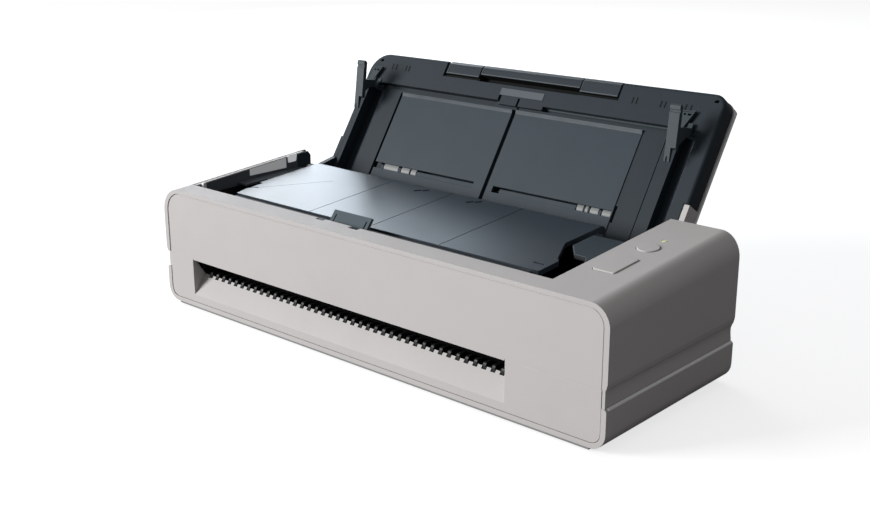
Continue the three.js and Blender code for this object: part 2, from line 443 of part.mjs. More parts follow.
for (const [n, x0, x1, discs] of [['eject_roller_left', 52.3, 125.6, [[55.3, 66.6], [69.2, 75.8], [76.8, 80.8]]],
  ['eject_roller_right', 138.3, 218.0, [[194.5, 198.5], [202.0, 208.0], [210.3, 216.6]]]]) {
  let s = rod(x0, x1, 16, -17.6, 1.2, 10);
  for (const [a, b] of discs) s = join(s, rod(a, b, 16, -17.6, 3.4, 18));
  piece(n, s, WHITE(), S);
}
// side guides: a leaning post on a web, a base plate with a foot in the slot, and a rack bar inside the cover
const post = [[45.4, -4.7], [53, -1.2], [68.5, 6.4], [70.6, 7.4], [71.8, 6.6], [71.4, 4.8], [69.8, 4.2], [54, -3.6], [46, -5.9]];
const web = [[53.5, -3.0], [62, 0.9], [66.4, -9.4], [69.0, -9.6], [69.0, -11.1], [64.6, -11.1], [61.6, -8.6]];
const basePlate = (c) => [[c - 5.7, 65.0], [c - 2.5, 65.0], [c - 2.5, 62.6], [c + 2.9, 62.6], [c + 2.9, 66.2], [c - 1.9, 66.2], [c + 1.8, 75.8], [c - 5.7, 75.2]];
const guide = (c, webX) => join(
  cut(pX(post, c - 2.9, c + 2.9), box(c + 0.2, c + 4, 40, 52, -12, 2)),
  pX(web, webX, webX + 2.6),
  pZ(basePlate(c), -11.1, -9.6));
const rackTeeth = (x0, x1, base, dir, u0, u1, phase) => {
  const pts = [[x0, base], [x0, base + dir * 0.05]];
  const pitch = 2 * Math.PI * 3.5 / 10;
  for (let x = x0 + 0.4 + phase; x + 1.3 < x1; x += pitch) pts.push([x, base + dir * 0.05], [x + 0.35, base + dir * 0.8], [x + 0.9, base + dir * 0.8], [x + 1.25, base + dir * 0.05]);
  pts.push([x1, base + dir * 0.05], [x1, base]);
  return pts;
};
{
  const c = GUIDE_L;
  let s = join(guide(c, c - 2.9),
    box(c - 2.4, c + 3.2, 65.7, 68.6, -14.3, -10.9),
    box(c - 2.4, c + 3.2, 65.7, 76.4, -14.3, -13.35));
  const bar = [[c - 2.4, 76.4], [c - 2.4, 75.2], ...rackTeeth(c - 2.0, 150, 75.2, -1, 0, 0, 1.398).slice(1, -1), [150, 75.2], [150, 76.4]];
  s = join(s, pZ(bar, -14.3, -13.35));
  piece('side_guide_left', s, SLATE(), S);
}
{
  const c = GUIDE_R;
  let s = join(guide(c, c + 0.3),
    box(c - 3.2, c + 2.4, 65.7, 68.6, -15.7, -10.9));
  const bar = [[c + 2.4, 65.7], [c + 2.4, 66.8], ...rackTeeth(118, c + 2.0, 66.8, 1, 0, 0, 0).reverse().slice(1, -1), [118, 66.8], [118, 65.7]];
  s = join(s, pZ(bar, -15.7, -14.6));
  piece('side_guide_right', s, SLATE(), S);
}
{
  const pts = [];
  for (let i = 0; i < 10; i++) {
    const a = 2 * Math.PI * i / 10, h = 2 * Math.PI / 10;
    for (const [f, r] of [[-0.25, 2.5], [-0.12, 3.15], [0.12, 3.15], [0.25, 2.5]]) pts.push([134 + r * Math.cos(a + f * h), 71.0 + r * Math.sin(a + f * h)]);
  }
  piece('guide_pinion', pZ(pts, -15.7, -13.35), WHITE(), S);
}
// two-stage extension: outer slide with the handle's end blocks, inner slide with the middle grip
const block = (x0, x1, v0, u0, u1) => pZ([[x0, v0], [x1, v0], [x1, vtop(x1) + 0.1], [x0, vtop(x0) + 0.1]], u0, u1);
piece('extension_lower', join(pZ(rect(76.0, 24, 195.5, 85.8, 0), -20.9, -19.1),
  block(76.1, 100.5, 78.3, -20.5, -11.6), block(171.3, 195.4, 78.3, -20.5, -11.6)), SLATE(), S);
piece('extension_upper', join(pZ(rect(103, 32, 169, 85.8, 0), -18.8, -17.2),
  block(101.5, 170.5, 80.2, -18.8, -11.6)), SLATE(), S);

for (const [n, x, v] of [['cover_screw_left', 22.7, 80.6], ['cover_screw_right', 252.4, 82.8]])
  piece(n, pZ(circle(x, v, 1.6, 14), -20.6, -13.2), STEEL(), S);

export default scanner;
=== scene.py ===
# Compact desktop document scanner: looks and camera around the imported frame.
# Metres, the frame's own axes: +X to the operator's right, +Y to the back, +Z up.
import json
import math

import bmesh
import bpy
from mathutils import Matrix, Vector


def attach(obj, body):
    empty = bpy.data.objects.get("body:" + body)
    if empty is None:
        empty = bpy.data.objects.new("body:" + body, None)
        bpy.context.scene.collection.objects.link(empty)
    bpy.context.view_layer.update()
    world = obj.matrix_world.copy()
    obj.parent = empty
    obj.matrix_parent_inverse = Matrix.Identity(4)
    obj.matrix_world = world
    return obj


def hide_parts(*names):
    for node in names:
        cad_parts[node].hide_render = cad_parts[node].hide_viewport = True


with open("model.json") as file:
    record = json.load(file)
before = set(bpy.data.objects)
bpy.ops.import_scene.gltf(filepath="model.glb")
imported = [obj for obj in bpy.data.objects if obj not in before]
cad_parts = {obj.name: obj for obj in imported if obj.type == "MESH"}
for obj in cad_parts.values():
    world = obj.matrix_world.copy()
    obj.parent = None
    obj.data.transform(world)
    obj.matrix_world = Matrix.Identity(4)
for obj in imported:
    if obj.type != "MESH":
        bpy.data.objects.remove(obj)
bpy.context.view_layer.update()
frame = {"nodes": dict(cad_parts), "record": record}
NODES = frame["nodes"]
MM = 0.001
OX, OY = -148.0, -82.6          # body coordinates to frame coordinates, mm

# driving sizes shared with the solids, mm
ZF, SLOPE = 66.73, 0.0714
HINGE_Y, HINGE_Z, LEAN, U_SHIFT = 98.3, 59.9, 33.4, 0.7
CA, SA = math.cos(math.radians(90 - LEAN)), math.sin(math.radians(90 - LEAN))


def ztop(y):
    return ZF + SLOPE * y


def zbed(y):
    return 61.0 + SLOPE * y


def vtop(x):
    return 85.9 + 1.7 * (x - 14.5) / (258.4 - 14.5)


# ------------------------------------------------------------------ materials


def new_material(name):
    m = bpy.data.materials.new(name)
    m.use_nodes = True
    nt = m.node_tree
    nt.nodes.clear()
    out = nt.nodes.new("ShaderNodeOutputMaterial")
    bsdf = nt.nodes.new("ShaderNodeBsdfPrincipled")
    nt.links.new(bsdf.outputs["BSDF"], out.inputs["Surface"])
    return m, nt, bsdf


def noise(nt, scale, detail=2.0, rough=0.5, dist=0.0, vec=None):
    n = nt.nodes.new("ShaderNodeTexNoise")
    n.inputs["Scale"].default_value = scale
    n.inputs["Detail"].default_value = detail
    n.inputs["Roughness"].default_value = rough
    n.inputs["Distortion"].default_value = dist
    if vec is not None:
        nt.links.new(vec, n.inputs["Vector"])
    return n


def ramp(nt, fac, stops):
    r = nt.nodes.new("ShaderNodeValToRGB")
    els = r.color_ramp.elements
    els[0].position, els[0].color = stops[0][0], stops[0][1]
    els[1].position, els[1].color = stops[-1][0], stops[-1][1]
    for p, c in stops[1:-1]:
        e = els.new(p)
        e.color = c
    nt.links.new(fac, r.inputs["Fac"])
    return r


def maprange(nt, fac, a, b, c, d):
    r = nt.nodes.new("ShaderNodeMapRange")
    r.inputs["From Min"].default_value = a
    r.inputs["From Max"].default_value = b
    r.inputs["To Min"].default_value = c
    r.inputs["To Max"].default_value = d
    nt.links.new(fac, r.inputs["Value"])
    return r


def grey(v, tint=(1, 1, 1)):
    return (v * tint[0], v * tint[1], v * tint[2], 1)


def plastic(name, base, rough=0.5, var=0.05, grain=0.12, grain_scale=5200.0, spec=0.5,
            rough_var=0.05, smear=0.03, grain_dist=0.00005, wave=0.22):
    """Moulded plastic: slow tone drift, handling marks in the gloss, fine spark-erosion grain."""
    m, nt, b = new_material(name)
    tc = nt.nodes.new("ShaderNodeTexCoord")
    obj = tc.outputs["Object"]
    slow = noise(nt, 9.0, 3.0, 0.5, 0.3, obj)
    mid = noise(nt, 70.0, 4.0, 0.6, 0.0, obj)
    mix = nt.nodes.new("ShaderNodeMath")
    mix.operation = "ADD"
    nt.links.new(slow.outputs["Fac"], mix.inputs[0])
    k = maprange(nt, mid.outputs["Fac"], 0.3, 0.7, -0.25, 0.25)
    nt.links.new(k.outputs["Result"], mix.inputs[1])
    c = ramp(nt, mix.outputs["Value"], [
        (0.2, grey(1 - var, base)), (0.5, grey(1.0, base)), (0.85, grey(1 + var * 0.6, base))])
    nt.links.new(c.outputs["Color"], b.inputs["Base Color"])
    sm = noise(nt, 26.0, 5.0, 0.65, 1.2, obj)
    r = maprange(nt, sm.outputs["Fac"], 0.3, 0.72, rough - rough_var, rough + rough_var + smear)
    nt.links.new(r.outputs["Result"], b.inputs["Roughness"])
    b.inputs["Specular IOR Level"].default_value = spec
    g1 = noise(nt, grain_scale, 2.0, 0.55, 0.0, obj)
    bump = nt.nodes.new("ShaderNodeBump")
    bump.inputs["Strength"].default_value = grain
    bump.inputs["Distance"].default_value = grain_dist
    nt.links.new(g1.outputs["Fac"], bump.inputs["Height"])
    g2 = noise(nt, 38.0, 1.0, 0.5, 0.0, obj)
    bump2 = nt.nodes.new("ShaderNodeBump")
    bump2.inputs["Strength"].default_value = wave
    bump2.inputs["Distance"].default_value = 0.00006
    nt.links.new(g2.outputs["Fac"], bump2.inputs["Height"])
    nt.links.new(bump.outputs["Normal"], bump2.inputs["Normal"])
    nt.links.new(bump2.outputs["Normal"], b.inputs["Normal"])
    return m


def metal(name, base, rough=0.3, axis=0):
    m, nt, b = new_material(name)
    tc = nt.nodes.new("ShaderNodeTexCoord")
    mp = nt.nodes.new("ShaderNodeMapping")
    s = [2600.0, 2600.0, 2600.0]
    s[axis] = 60.0
    mp.inputs["Scale"].default_value = s
    nt.links.new(tc.outputs["Object"], mp.inputs["Vector"])
    n = noise(nt, 1.0, 3.0, 0.6, 0.0, mp.outputs["Vector"])
    c = ramp(nt, n.outputs["Fac"], [(0.3, grey(0.82, base)), (0.7, grey(1.05, base))])
    nt.links.new(c.outputs["Color"], b.inputs["Base Color"])
    r = maprange(nt, n.outputs["Fac"], 0.3, 0.7, rough - 0.06, rough + 0.1)
    nt.links.new(r.outputs["Result"], b.inputs["Roughness"])
    b.inputs["Metallic"].default_value = 1.0
    bump = nt.nodes.new("ShaderNodeBump")
    bump.inputs["Strength"].default_value = 0.15
    bump.inputs["Distance"].default_value = 0.00003
    nt.links.new(n.outputs["Fac"], bump.inputs["Height"])
    nt.links.new(bump.outputs["Normal"], b.inputs["Normal"])
    return m


def glass_material():
    m, nt, b = new_material("sensor_glass")
    tc = nt.nodes.new("ShaderNodeTexCoord")
    n = noise(nt, 40.0, 4.0, 0.6, 0.5, tc.outputs["Object"])
    r = maprange(nt, n.outputs["Fac"], 0.4, 0.8, 0.03, 0.09)
    nt.links.new(r.outputs["Result"], b.inputs["Roughness"])
    c = ramp(nt, n.outputs["Fac"], [(0.3, (0.10, 0.13, 0.125, 1)), (0.7, (0.12, 0.15, 0.145, 1))])
    nt.links.new(c.outputs["Color"], b.inputs["Base Color"])
    b.inputs["Specular IOR Level"].default_value = 0.6
    return m


M = {}
M["shell"] = plastic("shell_grey", (0.50, 0.478, 0.472), 0.58, 0.02, 0.10, spec=0.3)
M["slate"] = plastic("slate_smooth", (0.031, 0.044, 0.056), 0.48, 0.05, 0.05, 7000.0, spec=0.24, wave=0.08)
M["bed"] = plastic("slate_bed", (0.030, 0.042, 0.054), 0.30, 0.04, 0.0, 7000.0, spec=0.5, wave=0.0, rough_var=0.01, smear=0.01)
M["slate_dark"] = plastic("slate_dark", (0.018, 0.026, 0.034), 0.5, 0.06, 0.06, 7000.0, spec=0.22, wave=0.1)
M["slate_band"] = plastic("slate_band", (0.020, 0.028, 0.037), 0.46, 0.06, 0.06, 7000.0, spec=0.25, wave=0.08)
M["slate_deck"] = plastic("slate_deck", (0.095, 0.106, 0.125), 0.5, 0.08, 0.08, 7000.0, spec=0.35, wave=0.1)
M["block_grey"] = plastic("block_grey", (0.80, 0.80, 0.81), 0.5, 0.03, 0.08, spec=0.4)
# pale plastic laid on shaded edges as a painted highlight
M["pale_highlight"] = plastic("pale_highlight", (0.82, 0.82, 0.83), 0.25, 0.03, 0.02, spec=0.6)
M["pad_grey_glow"] = plastic("pad_grey_glow", (0.72, 0.72, 0.73), 0.5, 0.03, 0.08, spec=0.4)
M["pad_pale_glow"] = plastic("pad_pale_glow", (0.84, 0.84, 0.85), 0.4, 0.03, 0.02, spec=0.5)
# painted glow: the pads are given a small emission so that they read as light as lit pads on the shaded wall; real ones
# don't glow
for key, glow in (("pad_grey_glow", 0.14), ("pad_pale_glow", 0.30)):
    pad = [n for n in M[key].node_tree.nodes if n.type == "BSDF_PRINCIPLED"][0]
    pad.inputs["Emission Color"].default_value = (0.97, 0.98, 1.0, 1)
    pad.inputs["Emission Strength"].default_value = glow
M["screw"] = metal("blackened_steel", (0.05, 0.052, 0.056), 0.42, 0)
M["slate_light"] = plastic("slate_light", (0.064, 0.086, 0.099), 0.5, 0.05, 0.06, 6500.0, spec=0.25, wave=0.1)
M["slate_guide"] = plastic("slate_guide", (0.039, 0.053, 0.061), 0.5, 0.05, 0.06, 6500.0, spec=0.25, wave=0.1)
# paler slate used as painted highlights on the handle facets
M["slate_highlight"] = plastic("slate_highlight", (0.078, 0.092, 0.102), 0.42, 0.05, 0.04, 6500.0, spec=0.4, wave=0.1)
M["tick"] = plastic("tick_black", (0.006, 0.0065, 0.007), 0.7, 0.1, 0.05, spec=0.1)
M["dark"] = plastic("near_black", (0.010, 0.0105, 0.012), 0.5, 0.15, 0.14, spec=0.35)
M["base_plate"] = plastic("base_dark", (0.030, 0.031, 0.035), 0.6, 0.12, 0.2, spec=0.3)
M["rubber"] = plastic("rubber_black", (0.016, 0.016, 0.017), 0.82, 0.2, 0.3, 3000.0, spec=0.25)
M["steel"] = metal("plated_steel", (0.62, 0.63, 0.64), 0.28, 0)
M["white"] = plastic("roller_white", (0.52, 0.52, 0.50), 0.42, 0.05, 0.08, spec=0.5)
M["roller"] = plastic("roller_grey", (0.24, 0.245, 0.245), 0.5, 0.05, 0.08, spec=0.3)
M["slate_ledge"] = plastic("slate_ledge", (0.075, 0.088, 0.102), 0.4, 0.06, 0.04, 7000.0, spec=0.4, wave=0.05)
M["board"] = plastic("board_green", (0.02, 0.085, 0.04), 0.4, 0.12, 0.08, spec=0.5)
M["lamp"] = plastic("lamp_lens", (0.86, 0.89, 0.56), 0.25, 0.05, 0.03, spec=0.5)
M["glass"] = glass_material()

SLOT_OF = {s["node"]: s["material_slot"] for s in frame["record"]["subparts"]}

# ------------------------------------------------------------------ modelling kit
# Solids are written in body coordinates (mm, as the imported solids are) or in cover
# coordinates (x, v up the cover, u towards the operator), then put in the frame.
SCENE = bpy.context.scene


def to_body(p):
    return ((p[0] + OX) * MM, (p[1] + OY) * MM, p[2] * MM)


def to_cover(p):
    x, v, u = p[0], p[1], p[2] + U_SHIFT
    return to_body((x, HINGE_Y + v * CA - u * SA, HINGE_Z + v * SA + u * CA))


def _object(me):
    o = bpy.data.objects.new("work", me)
    SCENE.collection.objects.link(o)
    return o


def _solid(verts, faces):
    me = bpy.data.meshes.new("work")
    me.from_pydata(verts, [], faces)
    bm = bmesh.new()
    bm.from_mesh(me)
    bmesh.ops.recalc_face_normals(bm, faces=bm.faces)
    bm.to_mesh(me)
    bm.free()
    return _object(me)


def _prism(pts, lo, hi, place):
    n = len(pts)
    verts = [place(a, b, lo) for a, b in pts] + [place(a, b, hi) for a, b in pts]
    faces = [tuple(range(n - 1, -1, -1)), tuple(range(n, 2 * n))]
    faces += [(i, (i + 1) % n, n + (i + 1) % n, n + i) for i in range(n)]
    return _solid(verts, faces)


def pX(pts, x0, x1):
    return _prism(pts, x0, x1, lambda a, b, c: (c, a, b))


def pY(pts, y0, y1):
    return _prism(pts, y0, y1, lambda a, b, c: (a, c, b))


def pZ(pts, z0, z1):
    return _prism(pts, z0, z1, lambda a, b, c: (a, b, c))


def box(x0, x1, y0, y1, z0, z1):
    return pZ([(x0, y0), (x1, y0), (x1, y1), (x0, y1)], z0, z1)


def rounded(points, seg=8):
    out = []
    n = len(points)
    for i in range(n):
        p, q, s = points[i], points[i - 1], points[(i + 1) % n]
        r = p[2] if len(p) > 2 else 0
        if not r:
            out.append((p[0], p[1]))
            continue
        a = Vector((q[0] - p[0], q[1] - p[1])).normalized()
        b = Vector((s[0] - p[0], s[1] - p[1])).normalized()
        half = math.acos(max(-1, min(1, a.dot(b)))) / 2
        t = r / math.tan(half)
        c = Vector((p[0], p[1])) + (a + b).normalized() * (r / math.sin(half))
        s0 = Vector((p[0], p[1])) + a * t - c
        s1 = Vector((p[0], p[1])) + b * t - c
        a0, a1 = math.atan2(s0.y, s0.x), math.atan2(s1.y, s1.x)
        while a1 - a0 > math.pi:
            a1 -= 2 * math.pi
        while a1 - a0 < -math.pi:
            a1 += 2 * math.pi
        for k in range(seg + 1):
            w = a0 + (a1 - a0) * k / seg
            out.append((c.x + r * math.cos(w), c.y + r * math.sin(w)))
    return out


def rect(a0, b0, a1, b1, r=0, seg=6):
    return rounded([(a0, b0, r), (a1, b0, r), (a1, b1, r), (a0, b1, r)], seg)


def circle(a, b, r, n=32, turn=0.0):
    return [(a + r * math.cos(turn + 2 * math.pi * i / n), b + r * math.sin(turn + 2 * math.pi * i / n)) for i in range(n)]


def rod(x0, x1, y, z, r, n=28):
    return pX(circle(y, z, r, n), x0, x1)


def loft(sections, closed=True):
    """Solid through rings of equal length, capped at both ends."""
    n = len(sections[0])
    verts = [p for s in sections for p in s]
    faces = [tuple(range(n - 1, -1, -1)), tuple(range((len(sections) - 1) * n, len(sections) * n))]
    for k in range(len(sections) - 1):
        for i in range(n):
            faces.append((k * n + i, k * n + (i + 1) % n, (k + 1) * n + (i + 1) % n, (k + 1) * n + i))
    return _solid(verts, faces)


def _boolean(a, others, op):
    for b in others:
        m = a.modifiers.new("b", "BOOLEAN")
        m.operation = op
        m.object = b
        m.solver = "MANIFOLD"
    bpy.context.view_layer.update()
    dg = bpy.context.evaluated_depsgraph_get()
    me = bpy.data.meshes.new_from_object(a.evaluated_get(dg), depsgraph=dg)
    for o in (a, *others):
        old = o.data
        bpy.data.objects.remove(o)
        bpy.data.meshes.remove(old)
    return _object(me)


def cut(a, *others):
    return _boolean(a, others, "DIFFERENCE")


def join(a, *others):
    return _boolean(a, others, "UNION")


def keep(a, *others):
    return _boolean(a, others, "INTERSECT")


def soften(o, width, angle=30.0, segments=3, planar=0.4):
    w = o.modifiers.new("weld", "WELD")
    w.merge_threshold = 0.000004
    d = o.modifiers.new("planar", "DECIMATE")
    d.decimate_type = "DISSOLVE"
    d.angle_limit = math.radians(planar)
    b = o.modifiers.new("edge", "BEVEL")
    b.width = width * MM
    b.segments = segments
    b.limit_method = "ANGLE"
    b.angle_limit = math.radians(angle)
    b.use_clamp_overlap = True
    b.miter_outer = "MITER_ARC"
    n = o.modifiers.new("normals", "WEIGHTED_NORMAL")
    n.weight = 90
    n.keep_sharp = True
    for p in o.data.polygons:
        p.use_smooth = True


def put(name, o, place, material, body, slot, *nodes, edge=0.3, angle=30.0, segments=3):
    """Names a finished solid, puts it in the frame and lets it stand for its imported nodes."""
    me = o.data
    for v in me.vertices:
        v.co = place(v.co)
    me.update()
    o.name = me.name = name
    me.materials.clear()
    me.materials.append(M[material])
    soften(o, edge, angle, segments)
    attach(o, body)
    if nodes:
        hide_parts(*nodes)
    return o

# ------------------------------------------------------------------ chute cover
def tray_ring(i, u):
    pts = rounded([(14.8 + i, -5 + i, 2.2 - i), (257.7 - i, -5 + i, 2.2 - i), (257.7 - i, 87.35 - i, 7.4 - i),
                   (14.8 + i, 85.65 - i, 12.7 - i)], 14)
    return [(a, b, u) for a, b in pts]


def cover_tray():
    # plate with a rolled outer edge
    roll = 1.9
    rings = [tray_ring(0, -21.3)]
    for k in range(0, 8):
        t = math.pi / 2 * k / 7
        rings.append(tray_ring(roll * (1 - math.cos(t)), -11.5 - roll * (1 - math.sin(t))))
    s = loft(rings)
    # deep side pockets: they rise in a soft curve to the borders
    left = [(21.0, 1), (21.0, -19.6), (26.4, -19.6)]
    for k in range(1, 11):
        t = k / 10
        left.append((26.4 + 6.4 * t, -19.6 + 6.0 * math.sin(t * math.pi / 2)))
    left.append((32.8, 1))
    right = [(239.0, 1), (239.0, -19.5)]
    for k in range(0, 13):
        t = k / 12
        right.append((243.4 + 5.2 * t, -19.5 + 8.02 * t * t * (3 - 2 * t)))
    right.append((248.7, 1))
    s = cut(s,
            pY(left, -6, 63.5),
            pY(right, -6, 63.5),
            box(32.4, 239.2, -6, 64.4, -13.6, 2),
            box(0, 18.1, -6, 28.3, -30, 2), box(254.7, 270, -6, 28.3, -30, 2))
    # panel seats, guide slots with the channel behind them
    s = cut(s,
            box(46.3, 216.92, -3.2, 62.9, -15.0, 2), box(46.3, 48.9, -3.2, 62.9, -19.0, 2),
            box(23.0, 121.7, 64.4, 66.6, -15.4, 2), box(119.9, 121.7, 66, 71.2, -15.4, 2),
            box(151.7, 246.0, 64.4, 66.6, -15.4, 2),
            # space for the extension, open at the top edge
            box(74.2, 196.6, 22, 90, -25, -16.9),
            box(74.2, 196.6, 78.0, 90, -25, 2),
            # recess under the handle: shallow at both ends, a deep finger slot in the middle
            box(101.0, 171.0, 76.0, 79, -25, 2),
            pX([(76.2, 2), (76.2, -14.0), (79, -14.0), (79, 2)], 74.2, 196.6),
            # slit beside the pinion stem
            box(133.6, 135.0, 63.3, 69.2, -15, 2),
            pZ([(21.5, 80.0), (23.9, 80.0), (24.3, 80.6), (23.6, 81.5), (22.6, 81.6), (21.4, 80.8)], -14.0, 2),
            pZ([(251.2, 82.2), (253.4, 82.2), (253.9, 82.9), (253.2, 83.9), (252.3, 83.9), (251.1, 83.0)], -14.0, 2),
            # bays of the eject rollers
            box(52, 126, 11.5, 20.6, -21.0, 2), box(138, 218.4, 11.5, 20.6, -21.0, 2),
            # step line beside the right-hand side zone
            box(231.0, 231.5, -6, 62.6, -14.0, 2))
    corner = pX([(28.3, -11.88), (28.3, -11.5), (14.8, -11.5), (6.0, -2.5), (5.7, -2.8), (14.9, -11.88)], 14.75, 17.95)
    side = cut(pX([(28.0, -21.2), (28.0, -11.9), (15.0, -11.9), (4.6, -1.2), (3.6, 2.8), (0.6, 4.6), (-3, 3.6), (-4.6, 0.6), (-3.6, -3.4),
                   (-1.4, -9), (-1.4, -21.2)], 17.82, 18.16), rod(17, 19, 0, -0.7, 2.4))
    put("tray_side", side, to_cover, "slate_dark", "cover", "slate", edge=0.05)
    # edge of the back shell that shows beside the tray, given the pale plastic as a painted highlight on its shaded
    # side
    flange = pZ(rounded([(257.0, 2.0, 0), (259.0, 2.0, 0.6), (259.3, 82.6, 1.6), (257.0, 84.6, 0)], 5), -22.7, -21.9)
    put("shell_flange", flange, to_cover, "pale_highlight", "cover", "shell", edge=0.2)
    # near-black lining in the recess under the handle: painted shadow
    recess_shadow_liner = join(box(74.2, 100.9, 76.2, 78.0, -14.0, -13.1), box(171.1, 196.6, 76.2, 78.0, -14.0, -13.1),
                 box(100.9, 171.1, 75.95, 76.3, -16.8, -11.9))
    put("handle_recess_shadow", recess_shadow_liner, to_cover, "tick", "cover", "slate", edge=0.05)
    put("tray_corner", corner, to_cover, "slate_dark", "cover", "slate", edge=0.1)
    put("chute_tray", s, to_cover, "slate_dark", "cover", "slate", "cover_tray", edge=0.3, angle=28)


def handle_block(x0, x1, v0, u0):
    # grip with a sloping upper facet
    def ring(x):
        top = vtop(x) + 0.05
        pts = [(v0, u0), (v0, -11.6), (top - 2.2, -11.6), (top - 0.5, -12.9), (top, -13.6), (top, u0)]
        return [(x, a, b) for a, b in pts]
    return loft([ring(x0), ring(x1)])


def handle_trim(x0, x1, v0):
    # paler strips on that facet and along its foot as painted highlights
    def ring(x):
        top = vtop(x) + 0.05
        return [(x, a, b) for a, b in [(top - 2.25, -11.7), (top - 2.2, -11.45), (top - 0.45, -12.75), (top + 0.05, -13.5), (top - 0.3, -13.5)]]
    lip = pZ([(x0, v0), (x1, v0), (x1, v0 + 0.55), (x0, v0 + 0.55)], -11.7, -11.3)
    return join(loft([ring(x0), ring(x1)]), lip, box(x0, x0 + 0.4, v0 + 0.3, vtop(x0) - 2.0, -11.7, -11.5))


def handle():
    # near-black slide plates, which also give the finger slot behind the grip its painted shadow
    put("slide_lower", pZ(rect(76.2, 24, 195.3, 84.6), -20.9, -19.1), to_cover, "dark", "extension_stage_one", "slate", edge=0.1)
    put("handle_end_left", handle_block(76.1, 100.5, 78.3, -20.5), to_cover, "slate_band", "extension_stage_one", "slate", edge=0.2, angle=28)
    put("handle_end_right", handle_block(171.3, 195.4, 78.3, -20.5), to_cover, "slate_band", "extension_stage_one", "slate", "extension_lower", edge=0.2, angle=28)
    for name, x0, x1, v0, body in (("handle_trim_left", 76.1, 100.5, 78.3, "extension_stage_one"), ("handle_trim_right", 171.3, 195.4, 78.3, "extension_stage_one"),
                                   ("handle_trim_grip", 101.5, 170.5, 80.2, "extension_stage_two")):
        put(name, handle_trim(x0, x1, v0), to_cover, "slate_highlight", body, "slate", edge=0.08, angle=28)
        # near-black strip under each grip: painted shade on its underside
        under = pZ([(x0 + 0.15, v0 - 0.22), (x1 - 0.15, v0 - 0.22), (x1 - 0.15, v0 + 0.02), (x0 + 0.15, v0 + 0.02)], -18.6, -11.75)
        put(name.replace("trim", "foot"), under, to_cover, "tick", body, "slate", edge=0.05)
    put("slide_upper", pZ(rect(103, 32, 169, 84.6), -18.8, -17.2), to_cover, "tick", "extension_stage_two", "slate", edge=0.1)
    s = handle_block(101.5, 170.5, 80.2, -18.8)
    put("handle_grip", s, to_cover, "slate_band", "extension_stage_two", "slate", "extension_upper", edge=0.2, angle=28)


def chute_panels():
    for name, x0, x1, w0, w1, holes in (
            ("chute_face_left", 48.3, 131.9, 47.6, 124.6, [(47.0, 53.0), (54.9, 67.0), (68.8, 76.0), (76.4, 81.2)]),
            ("chute_face_right", 134.4, 216.88, 138.5, 216.2, [(138.5, 143.0), (194.1, 198.9), (199.4, 201.8), (202.5, 208.4), (209.9, 216.2)])):
        # flat face with a rolled upper border
        prof = [(-2.8, -15.0), (-2.8, -13.1), (60.4, -13.1), (61.0, -12.95), (62.2, -12.3), (62.6, -12.25), (62.6, -15.0)]
        s = pX(prof, x0, x1)
        # long shallow window, open only where the rollers look through
        s = cut(s, pX([(13.9, 2), (13.9, -14.1), (17.6, -14.1), (17.6, 2)], w0, w1),
                box(w0, w1, 16.75, 17.6, -20, 2), *[box(a, b, 13.9, 17.6, -20, 2) for a, b in holes])
        node = "chute_panel_left" if "left" in name else "chute_panel_right"
        put(name, s, to_cover, "slate", "cover", "slate", node, edge=0.22, angle=25)


def band_plate():
    # raised tab on the top band, above the gap between the guide slots
    tab = pZ(rect(120.0, 69.9, 150.0, 74.0, 0.3), -11.9, -11.25)
    put("band_tab", tab, to_cover, "slate_ledge", "cover", "slate", edge=0.12)


def size_ticks():
    # plain generic paper-width ticks
    parts = []
    for x in (33.0, 36.0, 44.0, 46.5, 205.0, 207.5, 222.0, 224.5, 236.5, 239.5):
        parts.append(box(x, x + 0.65, 75.8, 79.4, -11.6, -11.42))
    s = join(parts[0], *parts[1:])
    put("width_ticks", s, to_cover, "tick", "cover", "slate", edge=0.03)


def rollers():
    for name, node, x0, x1, discs in (
            ("eject_set_left", "eject_roller_left", 52.3, 125.6, [(55.3, 66.6), (69.2, 75.6), (76.8, 80.8)]),
            ("eject_set_right", "eject_roller_right", 138.3, 218.0, [(194.5, 198.5), (199.7, 201.5), (202.9, 208.0), (210.3, 216.6)])):
        wheels = []
        for a, b in discs:
            wheels.append(pX([(16 + 3.4 * math.cos(2 * math.pi * k / 36), -17.6 + 3.4 * math.sin(2 * math.pi * k / 36)) for k in range(36)], a, b))
        w = join(wheels[0], *wheels[1:])
        w = cut(w, rod(x0 - 3, x1 + 3, 16, -17.6, 1.25))
        body = "eject_left" if "left" in name else "eject_right"
        put(name, w, to_cover, "roller", body, "white", node, edge=0.2)
        axle = rod(x0, x1, 16, -17.6, 1.2)
        put(name + "_axle", axle, to_cover, "dark", body, "white", edge=0.1)


